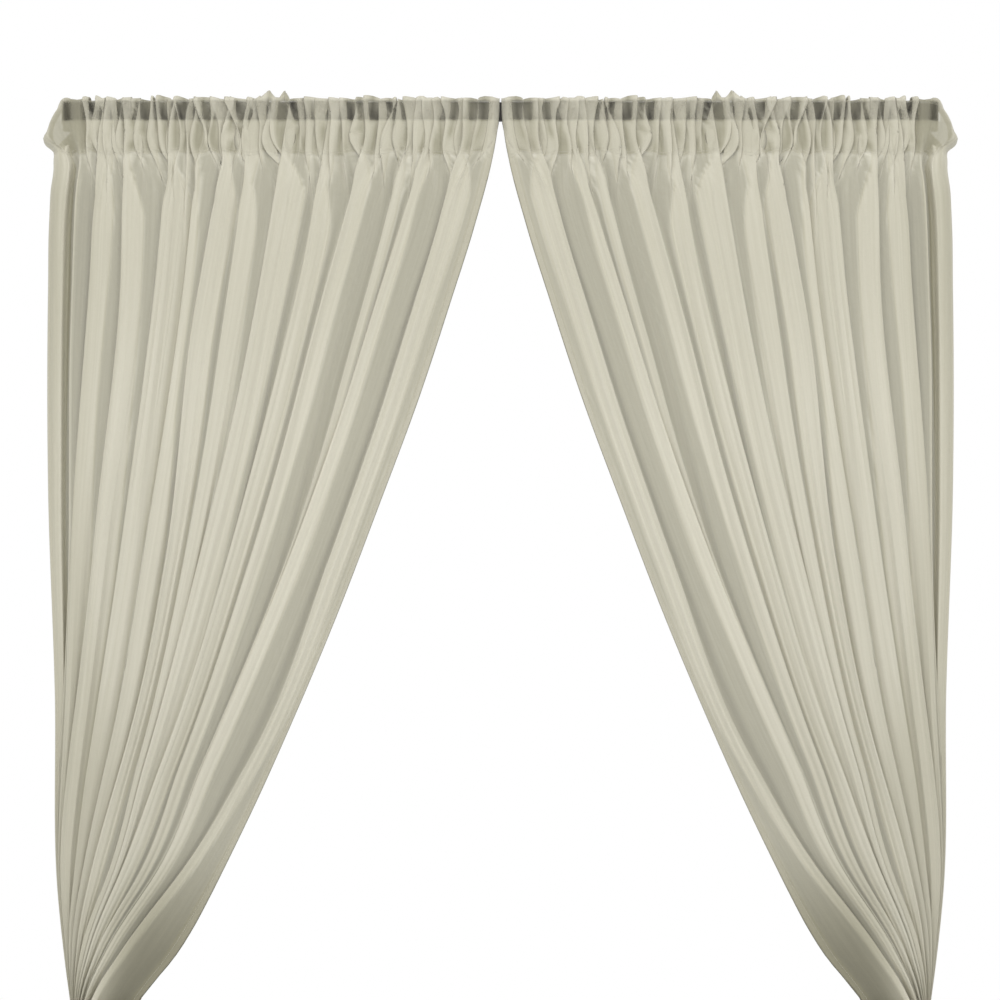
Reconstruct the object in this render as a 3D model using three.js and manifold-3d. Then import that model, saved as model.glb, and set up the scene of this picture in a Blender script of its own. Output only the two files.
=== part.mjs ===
// A pair of sheer rod-pocket curtains, tied back, on an adjustable flat rod.
// Millimetres. +Z is up, +X is to the right, and the room side is -Y.
// The origin is on the wall, midway between the brackets, at half the rod's height.

import * as THREE from 'three';
import { mergeVertices } from 'three/addons/utils/BufferGeometryUtils.js';
import Module from 'manifold-3d';

const wasm = await Module();
wasm.setup();

// ---- The rod -------------------------------------------------------------------------------
const ROD_SPAN = 1219; // over the outer faces of the two returns, with the rod closed
const ROD_PROJECTION = 51; // from the wall to the rod's front face
const ROD_HEIGHT = 25.4;
const ROD_DEPTH = 10;
const ROD_SHEET = 0.8; // thickness of the rolled steel
const ROD_LIP = 5; // lips that turn in at the open back
const ROD_BEND = 30; // outer radius of each corner
const ROD_WALL_GAP = 3; // from the end of a return to the wall
const ROD_SLIDE_GAP = 0.4; // between the inner and outer sections, on every side
const ROD_STOP_GAP = 2; // from a section's free end to the start of the other one's bend
const BEND_STEPS = 8;

// ---- Rod brackets --------------------------------------------------------------------------
const BRACKET_WIDTH = 32;
const BRACKET_HEIGHT = 40;
const BRACKET_SHEET = 1.6;
const BRACKET_OVERHANG = 2.5; // plate beyond the rod's outer face
const BRACKET_SCREW_SPACING = 26;
const BRACKET_SCREW_INSET = 8; // from the plate's inner edge to the screws' line
const TONGUE_REACH = 17; // from the wall to the tip of the tongue inside the rod
const TONGUE_HEIGHT = 17;
const NOTCH_GAP = 2; // notch in the rod's lower flange beyond the tongue's tip
const SEAT_GAP = 0.3; // between pieces that rest on each other

// ---- Screws --------------------------------------------------------------------------------
const SCREW_HEAD_RADIUS = 3.6;
const SCREW_HEAD_HEIGHT = 2.2;
const SCREW_RADIUS = 1.6;
const SCREW_LENGTH = 22; // under the head
const SCREW_TIP = 5;
const SCREW_RECESS_WIDTH = 0.9;
const SCREW_RECESS_DEPTH = 1.1;
const SCREW_RECESS_LENGTH = 4.2;
const SCREW_HOLE_GAP = 0.4; // clearance around a screw's shank
const SCREW_SIDES = 20;

// ---- Tie-back hooks and bands --------------------------------------------------------------
const TIE_DROP = 1262; // from the rod's middle down to the band's middle
const HOOK_PLATE_WIDTH = 16;
const HOOK_PLATE_HEIGHT = 46;
const HOOK_PLATE_SHEET = 2;
const HOOK_SCREW_SPACING = 32;
const HOOK_RADIUS = 2;
const HOOK_REACH = 16; // from the wall to the middle of the upturned tip
const HOOK_RISE = 15; // from the arm's middle to the tip's end
const HOOK_BEND = 4;
const HOOK_OFFSET = 18; // from the gathered cloth's outer side to the hook
const HOOK_SIDES = 12;
const TIE_RING_RADIUS = 8; // to the middle of the wire
const TIE_RING_WIRE = 1.1; // radius of the wire
const TIE_RING_PULL = 3; // how far the band draws its rings off the hook's centre
const BAND_HEIGHT = 50;
const BAND_THICKNESS = 3;
const BAND_GAP = 1.5; // around the gathered cloth
const BAND_TAB_HEIGHT = 12;
const BAND_TAPER = 45; // length over which the band narrows to a tab
const BAND_RING_GAP = 0.6; // from a tab's end to its ring

// ---- Curtain cloth -------------------------------------------------------------------------
const POCKET_DEPTH = 76; // from the top fold down to the seam under the rod
const RUFFLE_RISE = 8; // how far the gathered top fold stands above the rod
const CLOTH_FRONT = 16; // gathers in front of the rod
const CLOTH_BACK = 12; // gathers behind the rod
const POCKET_CLEARANCE = 0.6; // around the rod, in the pocket
const POCKET_WALL_GAP = 9; // from the wall to the pocket's outer end
const PANEL_GAP = 1.5; // from the middle of the window to a panel's leading edge
const LEAD_LENGTH = 30; // the pocket's leading end, which slides as one gather
const CLOTH_JOIN_GAP = 0.4; // between the solids that stand for one cloth
const DRAPE_DEPTH = 40;
const NECK_WIDTH = 91; // gathered cloth inside the band
const NECK_DEPTH = 52;
const NECK_WALL_GAP = 16; // from the wall to the gathered cloth
const NECK_OUTER = 16; // from the rod's outer face in to the gathered cloth
const NECK_BELOW = 9; // gathered cloth of constant size just under the band
const TAIL_STRAIGHT = 42; // below that, before the cloth opens out
const TAIL_WIDTH = 215;
const TAIL_DEPTH = 78;
const TAIL_OUTER = 26; // from the rod's outer face out to the tail's side
const PANEL_LENGTH = 2134; // from the top fold to the hem, along the outer edge
const HEM_SLANT = 105; // how much higher the hem is at the tail's inner side
const HEM_DEPTH = 76;
const CORNER_STEPS = 6;

// ---- Colours -------------------------------------------------------------------------------
const material = (color, roughness, metalness) =>
  new THREE.MeshStandardMaterial({ color, roughness, metalness });
const SHEER = { color: 0xd3cfbd, roughness: 0.85, metalness: 0 };
const BAND_CLOTH = { color: 0xc9c4b0, roughness: 0.85, metalness: 0 };
const BLACK_STEEL = { color: 0x14110c, roughness: 0.45, metalness: 0.6 };
const ZINC = { color: 0xa9abad, roughness: 0.35, metalness: 0.9 };

// ---- Sizes that follow from the ones above ----------------------------------------------------
const LEFT_FACE = -ROD_SPAN / 2;
const ROD_TOP = ROD_HEIGHT / 2;
const POCKET_TOP = ROD_TOP + RUFFLE_RISE;
const SEAM_Z = POCKET_TOP - POCKET_DEPTH;
const NECK_LEFT = LEFT_FACE + NECK_OUTER;
const NECK_RIGHT = NECK_LEFT + NECK_WIDTH;
const NECK_BACK = -NECK_WALL_GAP;
const NECK_FRONT = NECK_BACK - NECK_DEPTH;
const NECK_TOP_Z = -TIE_DROP + BAND_HEIGHT / 2;
const NECK_BOTTOM_Z = -TIE_DROP - BAND_HEIGHT / 2 - NECK_BELOW;
const HEM_OUTER_Z = POCKET_TOP - PANEL_LENGTH;
const HOOK_X = NECK_LEFT - HOOK_OFFSET;
const RING_X = HOOK_X + TIE_RING_PULL;
const RING_STACK = 2 * TIE_RING_WIRE + SEAT_GAP;
const HOOK_ARM_Z = -TIE_DROP - HOOK_RADIUS - RING_STACK;

// ---- Helpers -------------------------------------------------------------------------------

// Turns a closed mesh's faces outward, if they point in.
function outward(geometry) {
  const points = geometry.getAttribute('position');
  const index = geometry.getIndex().array;
  const corner = (i) => new THREE.Vector3().fromBufferAttribute(points, index[i]);
  let volume = 0;
  for (let i = 0; i < index.length; i += 3) {
    volume += corner(i).dot(corner(i + 1).cross(corner(i + 2)));
  }
  if (volume < 0) {
    for (let i = 0; i < index.length; i += 3) {
      [index[i], index[i + 1]] = [index[i + 1], index[i]];
    }
  }
  return geometry;
}

// A closed solid through a row of rings with equal numbers of corners.
// outline is one ring's shape laid flat, which says how the two end caps are cut.
function loft(rings, outline) {
  const count = outline.length;
  const positions = rings.flat().flatMap((point) => [point.x, point.y, point.z]);
  const indices = [];
  for (let row = 0; row < rings.length - 1; row += 1) {
    for (let i = 0; i < count; i += 1) {
      const a = row * count + i;
      const b = row * count + ((i + 1) % count);
      indices.push(a, b, b + count, a, b + count, a + count);
    }
  }
  const clockwise = THREE.ShapeUtils.isClockWise(outline);
  const last = (rings.length - 1) * count;
  for (const triangle of THREE.ShapeUtils.triangulateShape(outline, [])) {
    const [a, b, c] = clockwise ? [...triangle].reverse() : triangle;
    const [d, e, f] = clockwise ? [c, b, a] : [a, b, c];
    indices.push(f, e, d, last + d, last + e, last + f);
  }
  const geometry = new THREE.BufferGeometry();
  geometry.setAttribute('position', new THREE.Float32BufferAttribute(positions, 3));
  geometry.setIndex(indices);
  return outward(geometry);
}

function toSolid(geometry) {
  const bare = geometry.clone();
  bare.deleteAttribute('normal');
  bare.deleteAttribute('uv');
  const merged = mergeVertices(bare, 1e-4);
  return new wasm.Manifold(new wasm.Mesh({
    numProp: 3,
    vertProperties: Float32Array.from(merged.getAttribute('position').array),
    triVerts: Uint32Array.from(merged.getIndex().array),
  }));
}

function toGeometry(solid) {
  const mesh = solid.getMesh();
  const geometry = new THREE.BufferGeometry();
  geometry.setAttribute('position', new THREE.BufferAttribute(mesh.vertProperties, mesh.numProp));
  geometry.setIndex(new THREE.BufferAttribute(mesh.triVerts, 1));
  return geometry;
}

const cut = (body, ...tools) =>
  toGeometry(tools.reduce((solid, tool) => solid.subtract(toSolid(tool)), toSolid(body)));
const join = (...parts) =>
  toGeometry(parts.slice(1).reduce((solid, part) => solid.add(toSolid(part)), toSolid(parts[0])));

// A box between two opposite corners.
function boxBetween(low, high) {
  const size = high.map((value, axis) => value - low[axis]);
  const middle = high.map((value, axis) => (value + low[axis]) / 2);
  return new THREE.BoxGeometry(...size).translate(...middle);
}

// The same piece on the other side of the window.
function mirrored(geometry) {
  const copy = geometry.index ? geometry.clone() : mergeVertices(geometry);
  copy.scale(-1, 1, 1);
  return outward(copy);
}

// ---- The rod's route and section -------------------------------------------------------------

// Stations of the rod's outer face seen from above: up the return, round the bend, along the front.
// inset moves the route inward, and each station carries the way its face looks.
function rodRoute(inset, wallEnd, frontEnd) {
  const centre = new THREE.Vector2(LEFT_FACE + ROD_BEND, -ROD_PROJECTION + ROD_BEND);
  const stations = [{ x: LEFT_FACE + inset, y: wallEnd, facing: Math.PI }];
  for (let step = 0; step <= BEND_STEPS; step += 1) {
    const facing = Math.PI * (1 + step / BEND_STEPS / 2);
    stations.push({
      x: centre.x + (ROD_BEND - inset) * Math.cos(facing),
      y: centre.y + (ROD_BEND - inset) * Math.sin(facing),
      facing,
    });
  }
  stations.push({ x: frontEnd, y: -ROD_PROJECTION + inset, facing: Math.PI * 1.5 });
  return stations;
}

// Carries a section along a route. The section's x is out from the face, and its y is height.
function sweep(section, stations) {
  const rings = stations.map(({ x, y, facing }) => section.map((corner) => new THREE.Vector3(
    x + corner.x * Math.cos(facing),
    y + corner.x * Math.sin(facing),
    corner.y,
  )));
  return loft(rings, section);
}

// A rolled channel, open at the back except for its two lips.
function channel(height, depth) {
  const top = height / 2;
  const half = [
    [0, top],
    [-depth, top],
    [-depth, top - ROD_LIP],
    [-depth + ROD_SHEET, top - ROD_LIP],
    [-depth + ROD_SHEET, top - ROD_SHEET],
    [-ROD_SHEET, top - ROD_SHEET],
  ];
  const lower = half.map(([x, y]) => [x, -y]).reverse();
  return [...half, ...lower].map(([x, y]) => new THREE.Vector2(x, y));
}

const rectangle = (x0, x1, y0, y1) =>
  [[x0, y0], [x1, y0], [x1, y1], [x0, y1]].map(([x, y]) => new THREE.Vector2(x, y));

// One section of the rod, made at the left end. The lower flange is notched where the
// bracket's tongue comes in, so that the rod lifts off.
function rodSection(inset) {
  const height = ROD_HEIGHT - 2 * inset;
  const depth = ROD_DEPTH - 2 * inset;
  const frontEnd = -LEFT_FACE - ROD_BEND - ROD_STOP_GAP;
  const body = sweep(channel(height, depth), rodRoute(inset, -ROD_WALL_GAP, frontEnd));
  const notch = boxBetween(
    [LEFT_FACE + inset + ROD_SHEET + SEAT_GAP, -TONGUE_REACH - NOTCH_GAP, -ROD_HEIGHT],
    [LEFT_FACE + 2 * ROD_DEPTH, ROD_WALL_GAP, -height / 2 + ROD_LIP + SEAT_GAP],
  );
  return cut(body, notch);
}

// ---- Fasteners and wall fittings -------------------------------------------------------------

// A pan-head screw driven along +Y, with the underside of its head at the origin.
function screw() {
  const profile = [
    [0, -SCREW_HEAD_HEIGHT],
    [SCREW_HEAD_RADIUS * 0.6, -SCREW_HEAD_HEIGHT * 0.92],
    [SCREW_HEAD_RADIUS * 0.92, -SCREW_HEAD_HEIGHT * 0.6],
    [SCREW_HEAD_RADIUS, 0],
    [SCREW_RADIUS, 0],
    [SCREW_RADIUS, SCREW_LENGTH - SCREW_TIP],
    [0, SCREW_LENGTH],
  ].map(([x, y]) => new THREE.Vector2(x, y));
  const body = new THREE.LatheGeometry(profile, SCREW_SIDES);
  const arm = [SCREW_RECESS_LENGTH / 2, SCREW_RECESS_WIDTH / 2];
  const recess = [arm, [arm[1], arm[0]]].map(([x, z]) => boxBetween(
    [-x, -2 * SCREW_HEAD_HEIGHT, -z],
    [x, -SCREW_HEAD_HEIGHT + SCREW_RECESS_DEPTH, z],
  ));
  return cut(outward(mergeSeams(body)), ...recess);
}

// Joins the doubled corners where a turned or extruded shape closes on itself.
function mergeSeams(geometry) {
  geometry.deleteAttribute('normal');
  geometry.deleteAttribute('uv');
  return mergeVertices(geometry, 1e-4);
}

// An upright plate against the wall with rounded corners and round holes.
function wallPlate(left, right, height, sheet, corner, holes) {
  const top = height / 2;
  const outline = new THREE.Shape();
  outline.moveTo(left + corner, -top);
  outline.lineTo(right - corner, -top);
  outline.absarc(right - corner, -top + corner, corner, -Math.PI / 2, 0);
  outline.absarc(right - corner, top - corner, corner, 0, Math.PI / 2);
  outline.absarc(left + corner, top - corner, corner, Math.PI / 2, Math.PI);
  outline.absarc(left + corner, -top + corner, corner, Math.PI, Math.PI * 1.5);
  outline.closePath();
  for (const [x, z] of holes) {
    const hole = new THREE.Path();
    hole.absarc(x, z, SCREW_RADIUS + SCREW_HOLE_GAP, 0, Math.PI * 2, true);
    outline.holes.push(hole);
  }
  const plate = new THREE.ExtrudeGeometry(outline, {
    depth: sheet,
    bevelEnabled: false,
    curveSegments: CORNER_STEPS,
  });
  return plate.rotateX(Math.PI / 2);
}

const BRACKET_LEFT = LEFT_FACE - BRACKET_OVERHANG;
const BRACKET_RIGHT = BRACKET_LEFT + BRACKET_WIDTH;
const BRACKET_SCREW_X = BRACKET_RIGHT - BRACKET_SCREW_INSET;
const bracketScrews = [-1, 1].map((side) => [BRACKET_SCREW_X, side * BRACKET_SCREW_SPACING / 2]);
const hookScrews = [-1, 1].map((side) => [HOOK_X, side * HOOK_SCREW_SPACING / 2]);

// A plate and a tongue, which stands in the rod's return and carries its top flange.
function rodBracket(inset) {
  const plate = wallPlate(BRACKET_LEFT, BRACKET_RIGHT, BRACKET_HEIGHT, BRACKET_SHEET, 3, bracketScrews);
  const middle = LEFT_FACE + ROD_DEPTH / 2;
  const top = ROD_TOP - inset - ROD_SHEET - SEAT_GAP;
  const tongue = boxBetween(
    [middle - BRACKET_SHEET / 2, -TONGUE_REACH, top - TONGUE_HEIGHT],
    [middle + BRACKET_SHEET / 2, -BRACKET_SHEET / 2, top],
  );
  return join(plate, tongue);
}

// A plate with an arm that turns up at its end, so that a ring drops over it.
function tieHook() {
  const plate = wallPlate(
    HOOK_X - HOOK_PLATE_WIDTH / 2,
    HOOK_X + HOOK_PLATE_WIDTH / 2,
    HOOK_PLATE_HEIGHT,
    HOOK_PLATE_SHEET,
    HOOK_PLATE_WIDTH / 2 - 1,
    hookScrews,
  );
  const bendY = -HOOK_REACH + HOOK_BEND;
  const stations = [{ y: -HOOK_PLATE_SHEET / 2, z: 0, turn: 0 }];
  for (let step = 0; step <= CORNER_STEPS; step += 1) {
    const turn = (Math.PI / 2) * (step / CORNER_STEPS);
    stations.push({
      y: bendY - HOOK_BEND * Math.sin(turn),
      z: HOOK_BEND * (1 - Math.cos(turn)),
      turn,
    });
  }
  stations.push({ y: -HOOK_REACH, z: HOOK_RISE, turn: Math.PI / 2 });
  const outline = [...Array(HOOK_SIDES).keys()].map((side) => {
    const angle = (side / HOOK_SIDES) * Math.PI * 2;
    return new THREE.Vector2(HOOK_RADIUS * Math.cos(angle), HOOK_RADIUS * Math.sin(angle));
  });
  const rings = stations.map(({ y, z, turn }) => outline.map((corner) => new THREE.Vector3(
    HOOK_X + corner.x,
    y + corner.y * Math.sin(turn),
    z + corner.y * Math.cos(turn),
  )));
  return join(plate, loft(rings, outline)).translate(0, 0, HOOK_ARM_Z);
}

// ---- Cloth -----------------------------------------------------------------------------------

// A level ring of cloth with round corners, from its outer side round the front to the back.
function clothRing({ left, right, front, back, z, slant = 0 }) {
  const corner = Math.min(right - left, back - front) / 2;
  const centres = [
    [left + corner, front + corner, Math.PI],
    [right - corner, front + corner, Math.PI * 1.5],
    [right - corner, back - corner, 0],
    [left + corner, back - corner, Math.PI / 2],
  ];
  return centres.flatMap(([x, y, from]) => [...Array(CORNER_STEPS + 1).keys()].map((step) => {
    const angle = from + (Math.PI / 2) * ((step + 0.02) / (CORNER_STEPS + 0.04));
    const px = x + corner * Math.cos(angle);
    const py = y + corner * Math.sin(angle);
    return new THREE.Vector3(px, py, z + slant * (px - left) / (right - left));
  }));
}

const clothBody = (sections) => {
  const rings = sections.map(clothRing);
  return loft(rings, rings[0].map((point) => new THREE.Vector2(point.x, point.y)));
};

// Heading gathers, with a way through for the rod.
function pocket(stations, tunnelStations) {
  const around = rectangle(-ROD_DEPTH - CLOTH_BACK, CLOTH_FRONT, SEAM_Z, POCKET_TOP);
  const tunnel = rectangle(
    -ROD_DEPTH - POCKET_CLEARANCE,
    POCKET_CLEARANCE,
    -ROD_TOP - POCKET_CLEARANCE,
    ROD_TOP + POCKET_CLEARANCE,
  );
  return cut(sweep(around, stations), sweep(tunnel, tunnelStations));
}

const LEAD_START = -PANEL_GAP - LEAD_LENGTH;

function headingPocket() {
  const frontEnd = LEAD_START - CLOTH_JOIN_GAP;
  return pocket(
    rodRoute(0, -POCKET_WALL_GAP, frontEnd),
    rodRoute(0, POCKET_WALL_GAP, frontEnd + POCKET_WALL_GAP),
  );
}

function leadingPocket() {
  const straight = (from, to) => [from, to].map((x) => (
    { x, y: -ROD_PROJECTION, facing: Math.PI * 1.5 }
  ));
  return pocket(
    straight(LEAD_START, -PANEL_GAP),
    straight(LEAD_START - LEAD_LENGTH, LEAD_LENGTH),
  );
}

// The leading edge sweeps from the middle of the window out to the band, sagging as it goes.
// Each point is a share of the way across to the band and a share of the way down to it.
const leadingEdge = new THREE.CatmullRomCurve3([
  [0, 0],
  [0.09, 0.13],
  [0.32, 0.41],
  [0.65, 0.745],
  [0.84, 0.905],
  [1, 1],
].map(([across, down]) => new THREE.Vector3(
  across * (NECK_RIGHT + PANEL_GAP) - PANEL_GAP,
  0,
  SEAM_Z + down * (NECK_TOP_Z - SEAM_Z),
)));
const EDGE_STEPS = 9;
const DRAPE_FRONT = -ROD_PROJECTION - CLOTH_FRONT;

function drape() {
  const sections = [...Array(EDGE_STEPS + 1).keys()].map((step) => {
    const edge = leadingEdge.getPoint(step / EDGE_STEPS);
    const down = (edge.z - SEAM_Z) / (NECK_TOP_Z - SEAM_Z);
    const pulled = THREE.MathUtils.smoothstep(down, 0.6, 1);
    const outer = LEFT_FACE - CLOTH_FRONT / 2;
    const front = THREE.MathUtils.lerp(DRAPE_FRONT, NECK_FRONT, pulled);
    const depth = THREE.MathUtils.lerp(DRAPE_DEPTH, NECK_DEPTH, pulled);
    return {
      left: THREE.MathUtils.lerp(outer, NECK_LEFT, pulled),
      right: edge.x,
      front,
      back: front + depth,
      z: edge.z - CLOTH_JOIN_GAP,
    };
  });
  const neck = { left: NECK_LEFT, right: NECK_RIGHT, front: NECK_FRONT, back: NECK_BACK };
  return clothBody([...sections, { ...neck, z: NECK_BOTTOM_Z }]);
}

// The cloth below the band hangs straight, opens out, and ends in a hem that rises inward.
const tailLeft = LEFT_FACE - TAIL_OUTER;
const tailMiddle = (NECK_FRONT + NECK_BACK) / 2;
const tailHem = {
  left: tailLeft,
  right: tailLeft + TAIL_WIDTH,
  front: tailMiddle - TAIL_DEPTH / 2,
  back: tailMiddle + TAIL_DEPTH / 2,
  slant: HEM_SLANT,
};

function tail() {
  const neck = { left: NECK_LEFT, right: NECK_RIGHT, front: NECK_FRONT, back: NECK_BACK };
  const open = (share, z) => ({
    left: THREE.MathUtils.lerp(NECK_LEFT, tailHem.left, share),
    right: THREE.MathUtils.lerp(NECK_RIGHT, tailHem.right, share),
    front: THREE.MathUtils.lerp(NECK_FRONT, tailHem.front, share),
    back: THREE.MathUtils.lerp(NECK_BACK, tailHem.back, share),
    z,
  });
  const start = NECK_BOTTOM_Z - CLOTH_JOIN_GAP;
  const opening = start - TAIL_STRAIGHT;
  const fall = opening - (HEM_OUTER_Z + HEM_DEPTH);
  return clothBody([
    { ...neck, z: start },
    { ...neck, z: opening },
    open(0.45, opening - fall * 0.25),
    open(0.8, opening - fall * 0.6),
    { ...tailHem, z: HEM_OUTER_Z + HEM_DEPTH + CLOTH_JOIN_GAP },
  ]);
}

const bottomHem = () => clothBody([
  { ...tailHem, z: HEM_OUTER_Z + HEM_DEPTH },
  { ...tailHem, z: HEM_OUTER_Z },
]);

// ---- Tie-back band -----------------------------------------------------------------------------

// Seen from above, the band leaves one ring, goes round the gathered cloth and comes back
// behind it to the other ring.
function bandRoute() {
  const spread = BAND_GAP + BAND_THICKNESS / 2;
  const loop = clothRing({
    left: NECK_LEFT - spread,
    right: NECK_RIGHT + spread,
    front: NECK_FRONT - spread,
    back: NECK_BACK + spread,
    z: 0,
  }).slice(0, 3 * (CORNER_STEPS + 1));
  const tabEnd = (angle) => {
    const reach = TIE_RING_RADIUS + TIE_RING_WIRE + BAND_RING_GAP + BAND_THICKNESS / 2;
    return new THREE.Vector3(
      RING_X + reach * Math.cos(angle),
      -HOOK_REACH + reach * Math.sin(angle),
      0,
    );
  };
  return new THREE.CatmullRomCurve3([tabEnd(-0.9), ...loop, tabEnd(0.45)], false, 'centripetal');
}

function band() {
  const route = bandRoute();
  const length = route.getLength();
  const steps = 48;
  const rings = [...Array(steps + 1).keys()].map((step) => {
    const point = route.getPointAt(step / steps);
    const along = route.getTangentAt(step / steps);
    const side = new THREE.Vector3(along.y, -along.x, 0).normalize();
    const toEnd = Math.min(step, steps - step) * (length / steps);
    const widening = THREE.MathUtils.smoothstep(toEnd, 0, BAND_TAPER);
    const half = THREE.MathUtils.lerp(BAND_TAB_HEIGHT, BAND_HEIGHT, widening) / 2;
    return bandSection(half).map(({ x, y }) => (
      point.clone().addScaledVector(side, x).setZ(y - TIE_DROP)
    ));
  });
  return loft(rings, bandSection(BAND_HEIGHT / 2));
}

const bandSection = (half) =>
  rectangle(-BAND_THICKNESS / 2, BAND_THICKNESS / 2, -half, half);

const tieRing = (level) => new THREE.TorusGeometry(TIE_RING_RADIUS, TIE_RING_WIRE, 8, 24)
  .translate(RING_X, -HOOK_REACH, HOOK_ARM_Z + HOOK_RADIUS + SEAT_GAP + TIE_RING_WIRE + level * RING_STACK);

// ---- Assembly ------------------------------------------------------------------------------

const curtains = new THREE.Group();

function add(name, geometry, { color, roughness, metalness }) {
  const mesh = new THREE.Mesh(geometry, material(color, roughness, metalness));
  mesh.name = name;
  curtains.add(mesh);
}

const placed = { left: (geometry) => geometry, right: mirrored };

add('rod_outer_section', rodSection(0), BLACK_STEEL);
add('rod_inner_section', mirrored(rodSection(ROD_SHEET + ROD_SLIDE_GAP)), BLACK_STEEL);

const bracketInset = { left: 0, right: ROD_SHEET + ROD_SLIDE_GAP };
const levels = ['lower', 'upper'];

for (const [side, place] of Object.entries(placed)) {
  add(`${side}_rod_bracket`, place(rodBracket(bracketInset[side])), BLACK_STEEL);
  add(`${side}_tieback_hook`, place(tieHook()), ZINC);
  levels.forEach((level, i) => {
    const onBracket = screw().translate(bracketScrews[i][0], -BRACKET_SHEET - SEAT_GAP, bracketScrews[i][1]);
    const onHook = screw().translate(HOOK_X, -HOOK_PLATE_SHEET - SEAT_GAP, HOOK_ARM_Z + hookScrews[i][1]);
    add(`${side}_bracket_screw_${level}`, place(onBracket), ZINC);
    add(`${side}_hook_screw_${level}`, place(onHook), ZINC);
    add(`${side}_tieback_ring_${level}`, place(tieRing(i)), ZINC);
  });
  add(`${side}_tieback_band`, place(band()), BAND_CLOTH);
  add(`${side}_heading_pocket`, place(headingPocket()), SHEER);
  add(`${side}_leading_pocket`, place(leadingPocket()), SHEER);
  add(`${side}_drape`, place(drape()), SHEER);
  add(`${side}_tail`, place(tail()), SHEER);
  add(`${side}_bottom_hem`, place(bottomHem()), SHEER);
}

export default curtains;
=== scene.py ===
# %% [markdown]
# A pair of sheer rod-pocket curtains, gathered on a flat black rod and tied back at the sides.
# The frame is the hard part of the object: the rod, its brackets, the hooks, rings and screws.
# It is loaded first and is never moved. The box around it is kept, and the floor is set below it.

import bpy
import numpy as np
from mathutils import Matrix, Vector


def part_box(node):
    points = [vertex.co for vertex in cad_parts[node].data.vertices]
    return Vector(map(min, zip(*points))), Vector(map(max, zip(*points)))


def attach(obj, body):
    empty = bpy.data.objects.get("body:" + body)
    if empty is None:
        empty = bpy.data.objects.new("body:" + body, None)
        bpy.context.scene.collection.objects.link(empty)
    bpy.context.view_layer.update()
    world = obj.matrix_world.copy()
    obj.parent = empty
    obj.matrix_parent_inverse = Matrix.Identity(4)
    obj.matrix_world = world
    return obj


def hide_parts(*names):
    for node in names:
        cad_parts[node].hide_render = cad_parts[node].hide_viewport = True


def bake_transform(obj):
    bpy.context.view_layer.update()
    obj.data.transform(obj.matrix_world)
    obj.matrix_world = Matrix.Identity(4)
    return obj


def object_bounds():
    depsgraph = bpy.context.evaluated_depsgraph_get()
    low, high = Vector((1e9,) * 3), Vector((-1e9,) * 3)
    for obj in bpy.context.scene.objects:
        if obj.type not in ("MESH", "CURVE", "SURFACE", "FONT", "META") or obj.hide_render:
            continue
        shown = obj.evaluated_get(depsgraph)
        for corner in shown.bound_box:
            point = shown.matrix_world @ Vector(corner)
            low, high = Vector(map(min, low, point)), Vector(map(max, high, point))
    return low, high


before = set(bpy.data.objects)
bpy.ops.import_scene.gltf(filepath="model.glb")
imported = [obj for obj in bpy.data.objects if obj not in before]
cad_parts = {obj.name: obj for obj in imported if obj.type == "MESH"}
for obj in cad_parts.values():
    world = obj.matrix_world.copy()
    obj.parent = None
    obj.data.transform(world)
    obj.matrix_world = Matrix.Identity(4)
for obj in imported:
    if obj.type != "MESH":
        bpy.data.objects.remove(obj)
cad_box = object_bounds()

# %% [markdown]
# The camera stands in the room, level, in front of the middle of the window. A long lens keeps
# the two panels upright and nearly flat. The rod is 25.4 mm high and 1219 mm long, and the view is
# 1376 mm wide where the cloth hangs.

# %% Camera
VIEW_WIDTH = 1.376
CAMERA_DISTANCE = 3.2
CLOTH_PLANE = -0.053
CAMERA_SIDE = -0.0007
CAMERA_HEIGHT = -0.535
SENSOR_WIDTH = 36.0

scene = bpy.context.scene
camera_data = bpy.data.cameras.new("camera")
camera_data.sensor_width = SENSOR_WIDTH
camera_data.lens = SENSOR_WIDTH * CAMERA_DISTANCE / VIEW_WIDTH
camera = bpy.data.objects.new("camera", camera_data)
camera.location = (CAMERA_SIDE, CLOTH_PLANE - CAMERA_DISTANCE, CAMERA_HEIGHT)
camera.rotation_euler = (np.pi / 2, 0, 0)
scene.collection.objects.link(camera)
scene.camera = camera
print("lens:", round(camera_data.lens, 1), "mm")

# %% [markdown]
# The room is only a pale floor under the hems and soft, even light. The floor fades out all
# round, so it has no edge against the white. White curtains in a bright room get most of their
# light from all round, so the sky is a plain white, and large lamps in front and behind add the
# slow change from fold to fold. Colours are shown as they are, with no film curve, so that the
# cloth's own warm grey can be judged.

# %% Floor and light
FLOOR_GAP = 0.03
FLOOR_RADIUS = 6.0
FLOOR_FADE = 3.2
FLOOR_MIDDLE = -2.2
FLOOR_CORNERS = ((-1, -1), (1, -1), (1, 1), (-1, 1))
FLOOR_PAINT = (0.80, 0.80, 0.79, 1)
SKY_LIGHT = 0.72
WHITE = (1, 1, 1, 1)

scene.view_settings.view_transform = "Standard"


def new_object(name, mesh):
    made = bpy.data.objects.new(name, mesh)
    scene.collection.objects.link(made)
    return made


def set_inputs(target, settings):
    """Constants, set on a node's sockets by their names."""
    for name, value in settings.items():
        target.inputs[name].default_value = value


def soft_lamp(name, place, target, size, power):
    lamp = bpy.data.lights.new(name, "AREA")
    lamp.shape = "DISK"
    lamp.size = size
    lamp.energy = power
    made = new_object(name, lamp)
    made.location = place
    aim = Vector(target) - Vector(place)
    made.rotation_euler = aim.to_track_quat("-Z", "Y").to_euler()
    return made


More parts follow.
